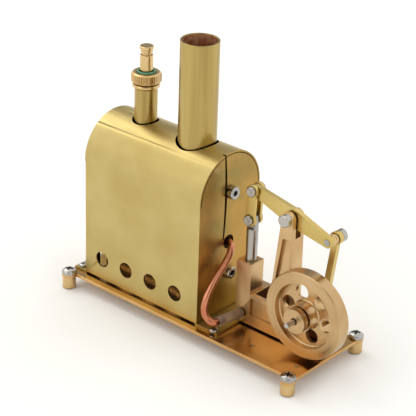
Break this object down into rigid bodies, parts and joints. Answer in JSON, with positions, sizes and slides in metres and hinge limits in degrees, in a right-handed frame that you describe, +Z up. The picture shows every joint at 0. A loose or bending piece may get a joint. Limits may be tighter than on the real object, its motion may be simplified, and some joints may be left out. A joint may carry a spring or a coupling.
{
  "type": "model steam engine",
  "caption": "Small brass model beam steam engine: arched boiler casing with chimney and filler valve, rocking beam, upright cylinder, connecting rod and spoked flywheel on a footed base plate.",
  "frame": {"origin": "bottom centre of the bounding box, under the feet", "axes": "+Z up, +X from the boiler towards the flywheel end, +Y from the flywheel side towards the back; at rest the beam's flywheel end is near its lowest point"},
  "size_m": [0.0964, 0.0352, 0.0846],
  "materials": {
    "polished_brass": "rolled sheet, polished, warm from lacquer",
    "satin_brass": "rolled sheet with a satin sheen",
    "turned_brass": "fine turned",
    "bronze": "cast, machined on its faces",
    "copper": null,
    "steel": "turned steel",
    "chrome_screws": "bright plated",
    "silicone": "translucent silicone",
    "seal_rubber": "dark green rubber",
    "cotton_wick": "braided cotton"
  },
  "bodies": {
    "frame": {"base_plate": "polished_brass", "foot_front_left": "turned_brass", "foot_screw_front_left": "chrome_screws", "foot_back_left": "turned_brass", "foot_screw_back_left": "chrome_screws", "foot_front_right": "turned_brass", "foot_screw_front_right": "chrome_screws", "foot_back_right": "turned_brass", "foot_screw_back_right": "chrome_screws", "boiler_casing": "satin_brass", "bracket_engine_end": "satin_brass", "bracket_burner_end": "satin_brass", "bracket_screw_burner_front": "chrome_screws", "bracket_screw_burner_back": "chrome_screws", "bracket_screw_engine_front": "chrome_screws", "bracket_screw_engine_back": "chrome_screws", "casing_screw_engine_lower": "chrome_screws", "casing_screw_burner_lower": "chrome_screws", "casing_screw_engine_upper": "chrome_screws", "casing_screw_burner_upper": "chrome_screws", "boiler_drum": "copper", "boiler_end_engine": "copper", "boiler_end_burner": "copper", "chimney": "satin_brass", "filler_neck": "satin_brass", "filler_bush": "turned_brass", "steam_pipe": "copper", "silicone_tube": "silicone", "inlet_nipple": "turned_brass", "engine_bed": "bronze", "bed_screw_1": "chrome_screws", "bed_screw_2": "chrome_screws", "crankshaft_bush": "turned_brass", "column": "bronze", "beam_pivot_pin": "steel", "beam_pivot_washer": "steel"},
    "crank": {"crankshaft": "steel", "crank_disc": "turned_brass", "flywheel": "bronze", "flywheel_grub_screw": "steel"},
    "beam": {"beam": "satin_brass", "upper_link_pin": "steel", "conrod_screw": "steel", "conrod_spacer_1": "turned_brass", "conrod_spacer_2": "turned_brass"},
    "links": {"piston_link_front": "satin_brass", "piston_link_back": "satin_brass"},
    "piston": {"piston": "steel", "lower_link_pin": "steel"},
    "conrod": {"connecting_rod": "satin_brass", "crank_pin": "steel"},
    "filler_cap": {"filler_cap": "turned_brass", "cap_seal_ring": "seal_rubber"},
    "valve": {"valve_stem": "turned_brass", "valve_spring": "steel"},
    "burner": {"burner_tank": "turned_brass", "wick_tube_1": "turned_brass", "wick_tube_2": "turned_brass", "wick_1": "cotton_wick", "wick_2": "cotton_wick"}
  },
  "joints": [
    {"name": "crank_spin", "type": "hinge", "parent": "frame", "child": "crank", "pos_m": [0.03537, 0.00095, 0.019], "axis": [0, 1, 0], "continuous": true},
    {"name": "beam_rock", "type": "hinge", "parent": "frame", "child": "beam", "pos_m": [0.02488, 0.00095, 0.0431], "axis": [0, 1, 0], "range_deg": [-31.6, 0.6]},
    {"name": "link_swing", "type": "hinge", "parent": "beam", "child": "links", "pos_m": [0.01144, 0.00095, 0.04668], "axis": [0, 1, 0], "range_deg": [-0.8, 31.8]},
    {"name": "conrod_swing", "type": "hinge", "parent": "beam", "child": "conrod", "pos_m": [0.03715, 0.0047, 0.03983], "axis": [0, 1, 0], "range_deg": [-0.8, 31.8]},
    {"name": "piston_slide", "type": "slide", "parent": "frame", "child": "piston", "axis": [0, 0, 1], "range_m": [-0.00759, 0.00016]},
    {"name": "cap_lift", "type": "slide", "parent": "frame", "child": "filler_cap", "axis": [0, 0, 1], "range_m": [0, 0.012]},
    {"name": "valve_lift", "type": "slide", "parent": "filler_cap", "child": "valve", "axis": [0, 0, 1], "range_m": [0, 0.0012], "stiffness_N_per_m": 80, "deforming": ["valve_spring"]},
    {"name": "burner_slide", "type": "slide", "parent": "frame", "child": "burner", "axis": [-1, 0, 0], "range_m": [0, 0.034]}
  ],
  "couplings": [
    {"joint": "piston_slide", "follows": "beam_rock", "m_per_rad": 0.01373},
    {"joint": "link_swing", "follows": "beam_rock", "ratio": -1},
    {"joint": "conrod_swing", "follows": "beam_rock", "ratio": -1}
  ]
}
